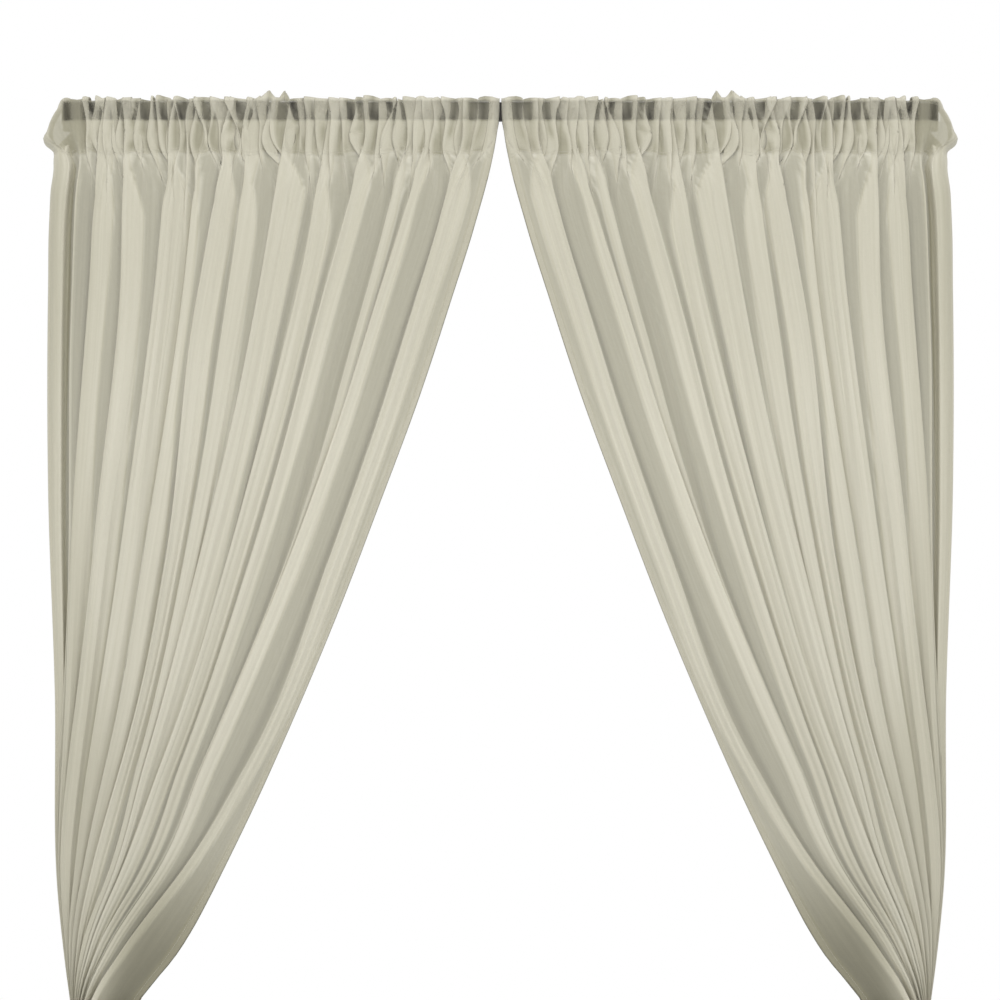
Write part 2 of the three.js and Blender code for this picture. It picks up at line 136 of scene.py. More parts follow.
floor_z = cad_box[0][2] - FLOOR_GAP
floor_mesh = bpy.data.meshes.new("floor")
floor_corners = [(x * FLOOR_RADIUS, y * FLOOR_RADIUS, 0) for x, y in FLOOR_CORNERS]
floor_mesh.from_pydata(floor_corners, [], [(0, 1, 2, 3)])
floor = new_object("floor", floor_mesh)
floor.location = (0, FLOOR_MIDDLE, floor_z)

floor_paint = bpy.data.materials.new("pale_floor")
floor_paint.use_nodes = True
tree = floor_paint.node_tree
paint = tree.nodes["Principled BSDF"]
set_inputs(paint, {"Base Color": FLOOR_PAINT, "Roughness": 0.9})
from_middle = tree.nodes.new("ShaderNodeTexCoord")
distance = tree.nodes.new("ShaderNodeVectorMath")
distance.operation = "LENGTH"
fade = tree.nodes.new("ShaderNodeMapRange")
fade.interpolation_type = "SMOOTHSTEP"
set_inputs(fade, {"From Min": FLOOR_FADE, "From Max": FLOOR_RADIUS, "To Min": 1.0, "To Max": 0.0})
tree.links.new(from_middle.outputs["Object"], distance.inputs[0])
tree.links.new(distance.outputs["Value"], fade.inputs["Value"])
tree.links.new(fade.outputs[0], paint.inputs["Alpha"])
floor_mesh.materials.append(floor_paint)
print("floor at", round(floor_z, 3))

# %% The sky and the lamps
world = bpy.data.worlds.new("room")
scene.world = world
world.use_nodes = True
tree = world.node_tree
sky = tree.nodes["Background"]
set_inputs(sky, {"Color": WHITE, "Strength": SKY_LIGHT})
seen = tree.nodes.new("ShaderNodeBackground")
set_inputs(seen, {"Color": WHITE, "Strength": 1.0})
path = tree.nodes.new("ShaderNodeLightPath")
either = tree.nodes.new("ShaderNodeMixShader")
tree.links.new(path.outputs["Is Camera Ray"], either.inputs[0])
tree.links.new(sky.outputs[0], either.inputs[1])
tree.links.new(seen.outputs[0], either.inputs[2])
tree.links.new(either.outputs[0], tree.nodes["World Output"].inputs["Surface"])

soft_lamp("lamp_above", (0, -2.6, 1.5), (0, 0, -0.7), 2.6, 42)
soft_lamp("lamp_left", (-2.6, -1.9, 0.1), (0, 0, -0.8), 1.6, 12)
soft_lamp("lamp_right", (2.6, -1.9, 0.1), (0, 0, -0.8), 1.6, 12)
lamp_behind = soft_lamp("lamp_behind", (0, 3.0, 1.2), (0, 0, -1.0), 2.4, 18)
lamp_behind.visible_camera = False
print("lamps:", len(bpy.data.lights))

# %% [markdown]
# Everything soft is placed from the hard parts it hangs on. These landmarks are read from the
# frame: the rod's faces, the pocket's seam, the gathered neck inside the tie-back band, and the
# hem. The left panel is worked out first, and the right one is its mirror image.

# %% Landmarks
BAND_THICKNESS = 0.003
BAND_GAP = 0.0015
NECK_WIDTH = 0.091
NECK_RUN = 0.042  # how far into the tail the cloth keeps the neck's section
ROD_DEPTH = 0.010

rod_low, rod_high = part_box("rod_outer_section")
pocket_low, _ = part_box("left_heading_pocket")
_, tail_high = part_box("left_tail")
hem_low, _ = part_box("left_bottom_hem")
band_low, band_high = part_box("left_tieback_band")

ROD_FRONT = rod_low.y
ROD_TOP = rod_high.z
SEAM_Z = pocket_low.z
NECK_RIGHT = band_high.x - BAND_THICKNESS - BAND_GAP
NECK_LEFT = NECK_RIGHT - NECK_WIDTH
NECK_FRONT = band_low.y + BAND_THICKNESS + BAND_GAP
NECK_BACK = -0.016
BAND_TOP = band_high.z
TIE_Z = (band_low.z + band_high.z) / 2
NECK_END = tail_high.z - NECK_RUN
HEM_Z = hem_low.z
HEM_SLANT = 0.105
HEM_DEPTH = 0.076
print("seam", round(SEAM_Z, 4), "tie", round(TIE_Z, 4), "hem", round(HEM_Z, 4))

# %% [markdown]
# Cloth that is gathered folds back on itself. Seen from above, each fold starts at a crease in
# front, runs on under the next fold, turns, and comes back to the next crease. So there are
# three layers beside each crease and one layer before the next. In a sheer that makes light and
# dark stripes; here the folds are modelled, and the stripes' light and dark is painted shade
# from the count of layers. The table follows each crease down the panel, as a share of the
# panel's width from its outer side. Each row ends with how far the fold runs on under the next
# one, high up and low down, and with the number of small gathers that it breaks into on the rod.

# %% Fold table
CLOTH_WIDTH = 1.524
CREASE_HEIGHTS = (-0.05, -0.30, -0.62, -0.90, -1.05, -1.16, -1.26, -1.60)
FOLDS = [
    # crease's share of the width at each of those heights          tucks         gathers
    ((0.061, 0.066, 0.066, 0.025, 0.012, 0.012, 0.012, 0.060), (0.055, 0.065), 3),
    ((0.106, 0.095, 0.072, 0.036, 0.020, 0.020, 0.020, 0.110), (0.060, 0.072), 4),
    ((0.160, 0.182, 0.140, 0.062, 0.030, 0.028, 0.030, 0.180), (0.076, 0.066), 5),
    ((0.264, 0.260, 0.226, 0.155, 0.110, 0.050, 0.042, 0.260), (0.027, 0.070), 4),
    ((0.330, 0.333, 0.300, 0.230, 0.160, 0.080, 0.054, 0.330), (0.066, 0.050), 3),
    ((0.387, 0.365, 0.379, 0.305, 0.205, 0.110, 0.066, 0.380), (0.054, 0.042), 3),
    ((0.440, 0.446, 0.435, 0.375, 0.310, 0.150, 0.078, 0.450), (0.075, 0.080), 4),
    ((0.520, 0.512, 0.482, 0.410, 0.345, 0.190, 0.092, 0.520), (0.056, 0.058), 4),
    ((0.610, 0.604, 0.576, 0.485, 0.385, 0.220, 0.110, 0.600), (0.047, 0.042), 4),
    ((0.696, 0.675, 0.646, 0.575, 0.500, 0.280, 0.132, 0.670), (0.028, 0.052), 4),
    ((0.791, 0.775, 0.765, 0.668, 0.590, 0.350, 0.158, 0.760), (0.034, 0.054), 2),
    ((0.832, 0.813, 0.768, 0.671, 0.594, 0.358, 0.170, 0.820), (0.062, 0.058), 4),
    ((0.914, 0.903, 0.903, 0.868, 0.735, 0.480, 0.235, 0.900), (0.000, 0.000), 3),
]
# The cloth starts behind the rod's return, comes round its corner and turns in behind the first
# crease: position across, and how far back towards the wall.
RETURN_PROFILE = [
    (0.046, 0.036),
    (0.004, 0.024),
    (0.000, 0.012),
    (0.011, -0.002),
    (0.044, -0.005),
    (0.049, 0.014),
    (0.068, 0.010),
]
rng = np.random.default_rng(7)
print("folds:", len(FOLDS), "gathers on the rod:", sum(row[2] for row in FOLDS))

# %% [markdown]
# Each crease is a smooth curve through its shares. The creases and the turns between them are the
# knots of the cloth: they keep their place in the sheet, and only stand elsewhere at other
# heights. The smaller gathers on the rod are random, between the same creases, so that they open
# out into the folds below.

# %% Knots of the cloth


def smooth_curve(heights, values):
    """A smooth curve through values given at heights that go down from the top."""
    heights = np.array(heights[::-1], float)
    values = np.array(values[::-1], float)
    slopes = np.gradient(values, heights)

    def at(z):
        z = np.clip(z, heights[0], heights[-1])
        i = np.clip(np.searchsorted(heights, z) - 1, 0, len(heights) - 2)
        step = heights[i + 1] - heights[i]
        t = (z - heights[i]) / step
        rise = values[i] * (1 + 2 * t) * (1 - t) ** 2 + values[i + 1] * t * t * (3 - 2 * t)
        lean = slopes[i] * t * (1 - t) ** 2 + slopes[i + 1] * t * t * (t - 1)
        return rise + lean * step

    return at


def ease(value, low, high):
    """Rises smoothly from 0 at low to 1 at high."""
    t = np.clip((value - low) / (high - low), 0, 1)
    return t * t * (3 - 2 * t)


def within(value, low, high, fall, end):
    """Rises from 0 to 1 between low and high, and falls back to 0 between fall and end."""
    return ease(value, low, high) * (1 - ease(value, fall, end))


crease_paths = [smooth_curve(CREASE_HEIGHTS, shares) for shares, _, _ in FOLDS]


def fold_places(z):
    """Where each knot of the cloth stands across the panel at a height, as shares of its width."""
    creases = [path(z) for path in crease_paths] + [1.0]
    low = ease(-z, 0.35, 0.65)
    widen = (1 - 0.5 * within(-z, 0.30, 1.24, 1.35, 1.8)) ** -0.7
    places = [across for across, _ in RETURN_PROFILE]
    for i, (_, tucks, _) in enumerate(FOLDS):
        tuck = (tucks[0] + (tucks[1] - tucks[0]) * low) * widen
        places += [creases[i], creases[i + 1] + tuck]
    return np.array(places)


# The cloth's length from knot to knot is worked out once, where the folds hang open.
DESIGN_HEIGHT = -0.30
DESIGN_WIDTH = 0.56
DESIGN_DEPTH = 0.008
DEPTHS = np.array([0.0] * len(RETURN_PROFILE) + [-1.0, 1.0] * (len(FOLDS) - 1) + [-1.0, 0.3])
REACH = np.array([back for _, back in RETURN_PROFILE] + [0.0] * (2 * len(FOLDS)))
design = fold_places(DESIGN_HEIGHT)
steps = np.hypot(np.diff(design) * DESIGN_WIDTH, np.diff(DEPTHS) * DESIGN_DEPTH)
steps = np.hypot(steps, np.diff(REACH))
KNOTS = np.r_[0, np.cumsum(steps)] / steps.sum()
FIRST = len(RETURN_PROFILE)


def rod_gathers():
    """Cloth position, place across and depth of the smaller gathers that bunch on the rod."""
    cloth = list(KNOTS[:FIRST])
    place = list(design[:FIRST])
    depth = list(DEPTHS[:FIRST])
    creases = [shares[0] for shares, _, _ in FOLDS] + [1.0]
    for i, (_, _, count) in enumerate(FOLDS):
        low = KNOTS[FIRST + 2 * i]
        high = KNOTS[min(FIRST + 2 * i + 2, len(KNOTS) - 1)]
        widths = rng.uniform(0.5, 1.6, count)
        widths *= (creases[i + 1] - creases[i]) / widths.sum()
        tucks = rng.uniform(0.55, 1.5, count) * widths.mean()
        ends = np.cumsum(np.c_[widths + tucks, tucks].ravel())
        ends = low + (high - low) * ends / ends[-1]
        crease = creases[i]
        for j in range(count):
            cloth += [low if j == 0 else ends[2 * j - 1], ends[2 * j]]
            place += [crease, crease + widths[j] + tucks[j]]
            depth += [-rng.uniform(0.4, 1.0), rng.uniform(0.3, 1.0)]
            crease += widths[j]
    cloth[-1] = 1.0
    place[-1] = 1.0
    return np.array(cloth), np.array(place), np.array(depth)


SAMPLES = 3000
GATHER_ROUND = 0.0022
FOLD_ROUND = 0.0030
LOOSE_ROUND = 0.010
fine = np.linspace(0, 1, SAMPLES)


def bell(sigma, reach):
    """Weights that follow a bell curve and reach a number of steps to each side."""
    weights = np.exp(-0.5 * (np.arange(-reach, reach + 1) / sigma) ** 2)
    return weights / weights.sum()


def softened(values, radius):
    """A curve along the cloth with its corners rounded, over a radius of cloth in metres."""
    sigma = radius / CLOTH_WIDTH * SAMPLES
    reach = int(3.5 * sigma) + 1
    padded = np.pad(values, reach, mode="reflect", reflect_type="odd")
    return np.convolve(padded, bell(sigma, reach), mode="valid")


gather_cloth, gather_place, gather_depth = rod_gathers()
gather_x = softened(np.interp(fine, gather_cloth, gather_place), GATHER_ROUND)
gather_y = softened(np.interp(fine, gather_cloth, gather_depth), GATHER_ROUND)
fold_y = softened(np.interp(fine, KNOTS, DEPTHS), FOLD_ROUND)
reach_back = softened(np.interp(fine, KNOTS, REACH), FOLD_ROUND)
# In the tail the folds are rounder and stand to different depths.
uneven = DEPTHS * rng.uniform(0.45, 1.0, len(DEPTHS))
loose_y = softened(np.interp(fine, KNOTS, uneven), LOOSE_ROUND)
print("knots in a panel:", len(KNOTS), "and on the rod:", len(gather_cloth))

# %% [markdown]
# The panel's outline comes next: how far out its two sides hang at each height, how deep its
# folds stand, and where its middle plane is between the room and the wall. Each is a smooth curve
# through a few heights. The leading edge hangs in a long sagging sweep from the middle of the
# window to the band. The outer side is nearly upright, with a small ear where the pocket's end
# stands off the corner of the rod.

# %% Outline of a panel
OUTER_SIDE = [
    (0.030, -0.6170),
    (-0.066, -0.6175),
    (-0.110, -0.6220),
    (-0.250, -0.6260),
    (-0.520, -0.6260),
    (-0.800, -0.6160),
    (-1.080, -0.6115),
    (-1.180, -0.6010),
    (BAND_TOP, NECK_LEFT),
    (NECK_END, NECK_LEFT),
    (-1.500, -0.6110),
    (-1.800, -0.6300),
    (HEM_Z, -0.6350),
]
EAR = [
    (0.030, -0.5980),
    (0.016, -0.6030),
    (0.003, -0.6140),
    (-0.009, -0.6205),
    (-0.025, -0.6265),
    (-0.036, -0.6315),
    (-0.040, -0.6290),
    (-0.045, -0.6215),
    (-0.066, -0.6175),
    (-0.110, -0.6220),
    (-0.180, -0.6243),
]
INNER_SIDE = [
    (0.030, -0.0012),
    (-0.011, -0.0020),
    (-0.054, -0.0103),
    (-0.150, -0.0335),
    (-0.260, -0.0680),
    (-0.398, -0.1135),
    (-0.535, -0.1645),
    (-0.700, -0.2277),
    (-0.866, -0.2980),
    (-0.948, -0.3350),
    (-1.031, -0.3750),
    (-1.086, -0.4025),
    (-1.127, -0.4245),
    (-1.168, -0.4510),
    (-1.203, -0.4800),
    (BAND_TOP + 0.004, -0.5010),
    (BAND_TOP - 0.010, NECK_RIGHT),
    (NECK_END, NECK_RIGHT),
    (-1.500, -0.4580),
    (-1.800, -0.4290),
    (HEM_Z, -0.4210),
]
NECK_MIDDLE = (NECK_FRONT + NECK_BACK) / 2
MIDDLE = [
    (0.030, -0.0600),
    (SEAM_Z, -0.0560),
    (-0.200, -0.0520),
    (-0.900, -0.0500),
    (-1.150, -0.0450),
    (BAND_TOP, NECK_MIDDLE),
    (HEM_Z, NECK_MIDDLE),
]
FOLD_DEPTH = [
    (0.030, 0.0060),
    (SEAM_Z, 0.0060),
    (-0.200, 0.0068),
    (-0.600, 0.0095),
    (-0.900, 0.0095),
    (-1.080, 0.0085),
    (-1.180, 0.0105),
    (BAND_TOP, 0.0240),
    (NECK_END, 0.0240),
    (-1.500, 0.0300),
    (HEM_Z, 0.0340),
]
outer_side = smooth_curve(*zip(*OUTER_SIDE))
inner_side = smooth_curve(*zip(*INNER_SIDE))
ear_side = smooth_curve(*zip(*EAR))
middle_plane = smooth_curve(*zip(*MIDDLE))
fold_depth = smooth_curve(*zip(*FOLD_DEPTH))
print("leading edge half way to the band:", round(float(inner_side(TIE_Z / 2)), 3))

# %% [markdown]
# No gather is quite like the next. Slow waves push the cloth a few millimetres from side to side
# and in and out. Sums of sines are used and not noise, since they can be asked for at any point of
# the sheet.

# %% Unevenness


def waves(seed, count, across, along, size):
    """Slow unevenness over the cloth: a sum of a few long waves with fixed random phases."""
    draw = np.random.default_rng(seed)
    parts = []
    for _ in range(count):
        turns = 1 / draw.uniform(*across), 1 / draw.uniform(*along)
        parts.append((*turns, draw.uniform(0, 2 * np.pi), draw.uniform(0.5, 1)))
    total = sum(part[3] for part in parts)

    def at(cloth, z):
        value = 0
        for turns_across, turns_along, phase, weight in parts:
            turn = cloth * CLOTH_WIDTH * turns_across + z * turns_along
            value = value + weight * np.sin(2 * np.pi * turn + phase)
        return value * size / total

    return at


drift = waves(1, 7, (0.09, 0.25), (0.5, 1.6), 0.006)
pleat_x = waves(2, 9, (0.015, 0.036), (1.2, 5.0), 0.0030)
pleat_y = waves(3, 9, (0.014, 0.034), (1.2, 5.0), 0.0032)
gather_lean = waves(11, 9, (0.015, 0.07), (9, 10), 0.80)
crinkle = waves(4, 12, (0.006, 0.019), (0.03, 0.12), 0.0045)
pucker = waves(6, 14, (0.012, 0.06), (0.05, 0.20), 0.0085)
gather_reach = waves(8, 6, (0.05, 0.3), (9, 10), 0.10)
print("drift half way down:", np.round(drift(np.linspace(0, 1, 5), -1.0) * 1000, 1), "mm")

# %% [markdown]
# One level row of the cloth at a time is laid out as seen from above. Near the rod it follows the
# rod's plan, round the bend and back along the return. Lower down it hangs between the two sides
# of the outline. Inside the band it is pressed into the band's rounded section.

# %% Rows of cloth
RETURN_FACE = -0.6095
BEND = 0.030
BEND_X = RETURN_FACE + BEND
BEND_Y = ROD_FRONT + BEND
POCKET_END = -0.009
RETURN_LENGTH = POCKET_END - BEND_Y
BEND_LENGTH = BEND * np.pi / 2
CORNER_LENGTH = RETURN_LENGTH + BEND_LENGTH
EAR_FADE = (0.026, 0.046)
RETURN_STEPS = np.linspace(0.0, EAR_FADE[1], FIRST)
SIT = 0.0007  # the cloth's clearance off the rod
STAND = 0.012  # how far the gathers stand off the rod
SWING_EDGE = 0.10  # share of the width over which the swing dies out at each side


def along_rod(distance, offset):
    """Plan position a distance along the rod's face from its wall end, offset out from it."""
    angle = np.clip((distance - RETURN_LENGTH) / BEND, 0, np.pi / 2)
    before = np.minimum(distance - RETURN_LENGTH, 0)
    after = np.maximum(distance - CORNER_LENGTH, 0)
    x = BEND_X - (BEND + offset) * np.cos(angle) + after
    y = BEND_Y - (BEND + offset) * np.sin(angle) - before
    return x, y


def rod_row(z, layer):
    """The cloth on the rod: layer 0 is in front of it and layer 1 is behind it."""
    left, right = outer_side(z), inner_side(z)
    inside = np.clip(np.minimum(gather_x, 1 - gather_x) / SWING_EDGE, 0, 1)
    swing = 0.4 * pleat_x(fine, z) + pucker(fine, z) + gather_lean(fine, 0) * (z + 0.015)
    x = left + gather_x * (right - left) + inside * swing
    distance = x - BEND_X + CORNER_LENGTH
    first_crease = gather_cloth[FIRST]
    start = np.interp(first_crease, fine, distance)
    known = np.r_[gather_cloth[:FIRST], first_crease]
    turned = np.interp(fine, known, np.r_[RETURN_STEPS, start])
    distance = np.where(fine < first_crease, turned, distance)
    limit = CORNER_LENGTH + right - BEND_X
    distance = np.minimum(distance, 2 * limit - distance)
    swell = 0.5 * (1 - gather_y) if layer == 0 else 0.5 * (1 + gather_y)
    offset = SIT + STAND * np.clip(swell, 0, 1) + np.abs(crinkle(fine, z)) * 0.6
    ear = (RETURN_FACE - ear_side(z)) * (1 - ease(distance, *EAR_FADE))
    if layer == 0:
        offset = offset * ease(fine, 0.0, 0.08) + SIT + np.maximum(ear, 0)
    else:
        offset = -ROD_DEPTH - offset * 0.85
    return along_rod(distance, offset)


# %% Rows that hang below the rod
CRISP_ROUND = 0.0030
BROAD_ROUND = 0.005
TAIL_ROUND = 0.009
PRESS_RUN = 0.12


def hanging_row(z):
    """The cloth below the rod, between the sides of the outline."""
    gathered = 1 - ease(-z, 0.015, 0.140 + gather_reach(fine, 0))
    places = np.interp(fine, KNOTS, fold_places(z))
    crisp = softened(places, CRISP_ROUND)
    broad = within(-z, 0.80, 1.15, -BAND_TOP, -NECK_END) * ease(fine, 0.93, 0.97)
    across = crisp + broad * (softened(places, BROAD_ROUND) - crisp)
    across = gathered * gather_x + (1 - gathered) * across
    loose = ease(-z, -NECK_END, -NECK_END + 0.25)
    across = across + loose * (softened(places, TAIL_ROUND) - across)
    depth = gathered * gather_y + (1 - gathered) * fold_y
    depth = depth + loose * (loose_y - depth)
    left, right = outer_side(z), inner_side(z)
    span = right - left
    hang = ease(-z, 0.04, 0.25)
    inside = np.clip(np.minimum(across, 1 - across) / SWING_EDGE, 0, 1)
    swing = drift(fine, z) * hang + pleat_x(fine, z) * (0.4 + 0.6 * hang)
    swing = swing + pucker(fine, z) * (1 - ease(-z, 0.05, 0.17))
    x = left + span * across + inside * swing * (span / 0.62) ** 1.1
    x = x + (ear_side(z) - left) * (1 - ease(-z, 0.12, 0.18)) * (1 - ease(across, 0.02, 0.05))
    left = min(left, ear_side(z)) if z > -0.18 else left
    x = np.maximum(x, left) + np.minimum(x - left, 0) * 0.2
    x = np.minimum(x, right) - np.maximum(x - right, 0)
    reach = (1 - 0.75 * ease(-z, 0.55, -BAND_TOP)) * (1 - ease(-z, -BAND_TOP, -NECK_END))
    y = middle_plane(z) + depth * fold_depth(z) + reach_back * reach
    y = y + pleat_y(fine, z) * (0.5 + 0.5 * hang) * (1 - 0.5 * ease(-z, 0.6, 1.1))
    y = y + crinkle(fine, z) * (1 - ease(-z, 0.03, 0.16))
    return x, y


def pressed_row(z, x, y):
    """Rows near the band are pressed into its rounded section, a straight run with round ends."""
    radius = (NECK_BACK - NECK_FRONT) / 2 - 0.0008
    left, right = outer_side(z), inner_side(z)
    side = np.clip(np.minimum(x - left, right - x), 0, radius)
    room = np.sqrt(radius ** 2 - (radius - side) ** 2)
    near = within(-z, -BAND_TOP - PRESS_RUN, -BAND_TOP, -NECK_END, -NECK_END + PRESS_RUN)
    pressed = NECK_MIDDLE + np.clip(y - NECK_MIDDLE, -1, 1) * room / radius
    pressed = np.clip(pressed, NECK_MIDDLE - room, NECK_MIDDLE + room)
    return x, y + near * (pressed - y)


def cloth_row(z):
    """One level row of the front of the cloth, from the top of the rod down to the hem."""
    on_rod = 1 - ease(-z, 0.014, 0.075)
    x, y = hanging_row(z)
    if on_rod > 0:
        rod_x, rod_y = rod_row(z, 0)
        x = on_rod * rod_x + (1 - on_rod) * x
        y = on_rod * rod_y + (1 - on_rod) * y
    return pressed_row(z, x, y)


def row_length(x, y):
    return np.hypot(np.diff(x), np.diff(y)).sum()


for height in (0.0, -0.3, -0.6, -0.9, -1.15, -1.26, -1.8):
    print("cloth across at", height, "is", round(row_length(*cloth_row(height)), 3), "m")

# %% [markdown]
# The panel is one long sheet, as it is sewn: it starts at the seam behind the rod, goes up and
# over the rod with a small frill, comes down in front to the seam, hangs to the band, passes
# through it and ends in a hem turned up behind. Each row of the mesh is one level of that route.
# Its columns are closer together where the cloth turns sharply, so creases stay crisp without a
# heavy mesh.

# %% Columns and rows
COLUMNS = 540
DRAPE_ROWS = 104
NEAR_ROWS = 40
NEAR_END = -0.30
TAIL_ROWS = 34
turns = np.concatenate([KNOTS, gather_cloth])
gap = np.abs(fine[:, None] - turns[None, :]).min(axis=1) * CLOTH_WIDTH
crowding = np.cumsum(1 + 1.6 * np.exp(-((gap / 0.004) ** 2)))
crowding = (crowding - crowding[0]) / (crowding[-1] - crowding[0])
columns = np.interp(np.linspace(0, 1, COLUMNS), crowding, fine)

POCKET_TOP = 0.012
BACK_HEIGHTS = (SEAM_Z, -0.048, -0.040, -0.031, -0.022, -0.014, -0.006, 0.003, POCKET_TOP)
FRONT_HEIGHTS = (
    POCKET_TOP, 0.006, 0.0, -0.006, -0.0115, -0.015, -0.020, -0.026, -0.031,
    -0.0345, -0.0375, -0.0405, -0.044, -0.048, -0.0515, SEAM_Z,
)
near_rod = np.linspace(SEAM_Z, NEAR_END, NEAR_ROWS + 1)[1:]
DRAPE_HEIGHTS = np.r_[near_rod, np.linspace(NEAR_END, BAND_TOP, DRAPE_ROWS - NEAR_ROWS)[1:]]
NECK_HEIGHTS = np.linspace(BAND_TOP, NECK_END, 11)[1:]
TAIL_SHARES = np.linspace(0, 1, TAIL_ROWS + 1)[1:]
FRILL_STEPS = np.linspace(0, np.pi, 9)[1:-1]

# %% [markdown]
# A sheer looks lighter where it lies in several layers, and also where one layer is seen at a
# slant, because more thread is in the way. Here that is painted: each row measures how much cloth
# there is per millimetre of its width and keeps it with the mesh, and the fabric's colour is later
# painted from it, as painted shade that is darker where the cloth is single and lighter where it
# is layered.

# %% Cloth density
DENSITY_STEP = 0.0004
DENSITY_BLUR = 0.0013
SIDE_HEM = 0.012
hem_share = SIDE_HEM / CLOTH_WIDTH


def layers_across(x, y, extra=0.0):
    """Cloth per unit of width at every fine step of a row: about 1 for one flat layer."""
    thick = 1 + ((fine < hem_share) | (fine > 1 - hem_share)) + extra
    middle = (x[1:] + x[:-1]) / 2
    amount = np.hypot(np.diff(x), np.diff(y)) * (thick[1:] + thick[:-1]) / 2
    low = x.min() - 0.01
    count = int((x.max() + 0.01 - low) / DENSITY_STEP)
    bins = np.bincount(((middle - low) / DENSITY_STEP).astype(int), amount, count)
    weights = bell(DENSITY_BLUR / DENSITY_STEP, int(4 * DENSITY_BLUR / DENSITY_STEP))
    dense = np.convolve(bins / DENSITY_STEP, weights, mode="same")
    return np.interp(x, low + (np.arange(count) + 0.5) * DENSITY_STEP, dense)


def sampled(*rows):
    return [np.interp(columns, fine, row) for row in rows]


# %% [markdown]
# Now the rows are made, in the order of the cloth's route. The seam sags a little between the
# gathers, and two tips of the frill stand higher than the rest. Each row is worked out finely and
# then kept at the columns only.

# %% The panel, row by row
TALL_TIPS = (-0.320, -0.296)
TIP_HEIGHT = 0.0110
TIP_WIDTH = 0.0050
FRILL_RANGE = (0.0004, 0.0150)
FRILL_CLOTH = 0.003  # cloth from row to row over the frill
SEAM_GAP = 0.0012
grid, density, along = [], [], []


def add_row(x, y, z, dense, cloth_down):
    grid.append(np.stack(np.broadcast_arrays(x, y, z), axis=-1))
    density.append(dense)
    along.append(np.broadcast_to(cloth_down, dense.shape))


seam_sag = -0.003 + waves(9, 9, (0.02, 0.12), (9, 10), 0.009)(fine, 0)
seam_patch = np.clip(waves(10, 9, (0.02, 0.09), (9, 10), 1.6)(fine, 0) + 0.25, 0, 0.8)
seam_x, seam_y = cloth_row(SEAM_Z)
cloth_down = 0.0
previous = BACK_HEIGHTS[0]
for z in BACK_HEIGHTS:
    lifted = ease(z, SEAM_Z, -0.016)
    back_x, back_y = rod_row(z, 1)
    x = seam_x + lifted * (back_x - seam_x)
    y = seam_y + SEAM_GAP + lifted * (back_y - seam_y - SEAM_GAP)
    dense = layers_across(x, y)
    cloth_down += abs(z - previous)
    previous = z
    level = z + seam_sag * (1 - lifted)
    add_row(*sampled(x, y, level), *sampled(dense), cloth_down)

back_x, back_y = rod_row(POCKET_TOP, 1)
front_x, front_y = rod_row(POCKET_TOP, 0)
frill = 0.0032 - 0.0034 * gather_y + waves(5, 9, (0.012, 0.06), (1, 2), 0.0072)(fine, 0)
for tip in TALL_TIPS:
    frill = frill + TIP_HEIGHT * np.exp(-(((front_x - tip) / TIP_WIDTH) ** 2))
frill = np.clip(frill, *FRILL_RANGE)
for turn in FRILL_STEPS:
    share = (1 - np.cos(turn)) / 2
    x = back_x + share * (front_x - back_x)
    y = back_y + share * (front_y - back_y)
    top = ROD_TOP + 0.0004 + (frill + 0.0015) * np.sin(turn)
    dense = layers_across(x, y)
    cloth_down += FRILL_CLOTH
    add_row(*sampled(x, y, top), *sampled(dense), cloth_down)

previous = FRONT_HEIGHTS[0]
for z in np.r_[FRONT_HEIGHTS, DRAPE_HEIGHTS, NECK_HEIGHTS]:
    x, y = cloth_row(z)
    near_seam = np.exp(-(((z - SEAM_Z - 0.001) / 0.005) ** 2))
    doubled = 0.15 * within(z, SEAM_Z - 0.001, SEAM_Z + 0.003, -0.020, -0.012)
    dense = layers_across(x, y, extra=seam_patch * near_seam + doubled)
    level = z + seam_sag * within(-z, 0.016, 0.05, 0.06, 0.16)
    cloth_down += abs(z - previous)
    previous = z
    add_row(*sampled(x, y, level), *sampled(dense), cloth_down)

FRONT_ROW = len(BACK_HEIGHTS) + len(FRILL_STEPS)
tail_length = HEM_Z - NECK_END
hem_start = 1 + HEM_DEPTH / tail_length
for share in TAIL_SHARES:
    z = NECK_END + share * tail_length
    x, y = cloth_row(z)
    slant = HEM_SLANT * np.clip((x - outer_side(z)) / (inner_side(z) - outer_side(z)), 0, 1)
    dense = layers_across(x, y, extra=1.0 if share > hem_start else 0.0)
    level = z + share * slant
    add_row(*sampled(x, y, level), *sampled(dense), cloth_down - share * tail_length)

grid = np.array(grid)
density = np.array(density)
along = np.array(along)
print("rows and columns:", grid.shape[0], grid.shape[1])

# %% [markdown]
# The hems are turned to the back, as a thin double edge: 12 mm down both sides and 76 mm along
# the bottom. They are extra columns and rows of the same mesh, set just behind the cloth.

# %% Hems
HEM_GAP = 0.0009
HEM_COLUMNS = 3


def turned_back(points):
    """Unit directions to the back of a grid of points."""
    across = np.gradient(points, axis=1)
    down = np.gradient(points, axis=0)
    normal = np.cross(across, down)
    return normal / np.maximum(np.linalg.norm(normal, axis=-1, keepdims=True), 1e-9)


def side_hem(points, at):
    """Copies of the cloth at the given cloth positions, moved to the back."""
    picked = np.clip(np.searchsorted(columns, at), 1, COLUMNS - 1)
    share = (at - columns[picked - 1]) / (columns[picked] - columns[picked - 1])
    low, high = points[:, picked - 1], points[:, picked]
    return low + (high - low) * share[None, :, None]


behind = grid + HEM_GAP * turned_back(grid)
hem_at = np.linspace(0, hem_share, HEM_COLUMNS + 1)[1:]
left_hem = side_hem(behind, hem_at[::-1])
right_hem = side_hem(behind, 1 - hem_at)
grid = np.concatenate([left_hem, grid, right_hem], axis=1)
pad = [(0, 0), (HEM_COLUMNS, HEM_COLUMNS)]
density = np.pad(density, pad, mode="edge")
along = np.pad(along, pad, mode="edge")
cloth_across = np.r_[hem_at[::-1], columns, 1 - hem_at] * CLOTH_WIDTH

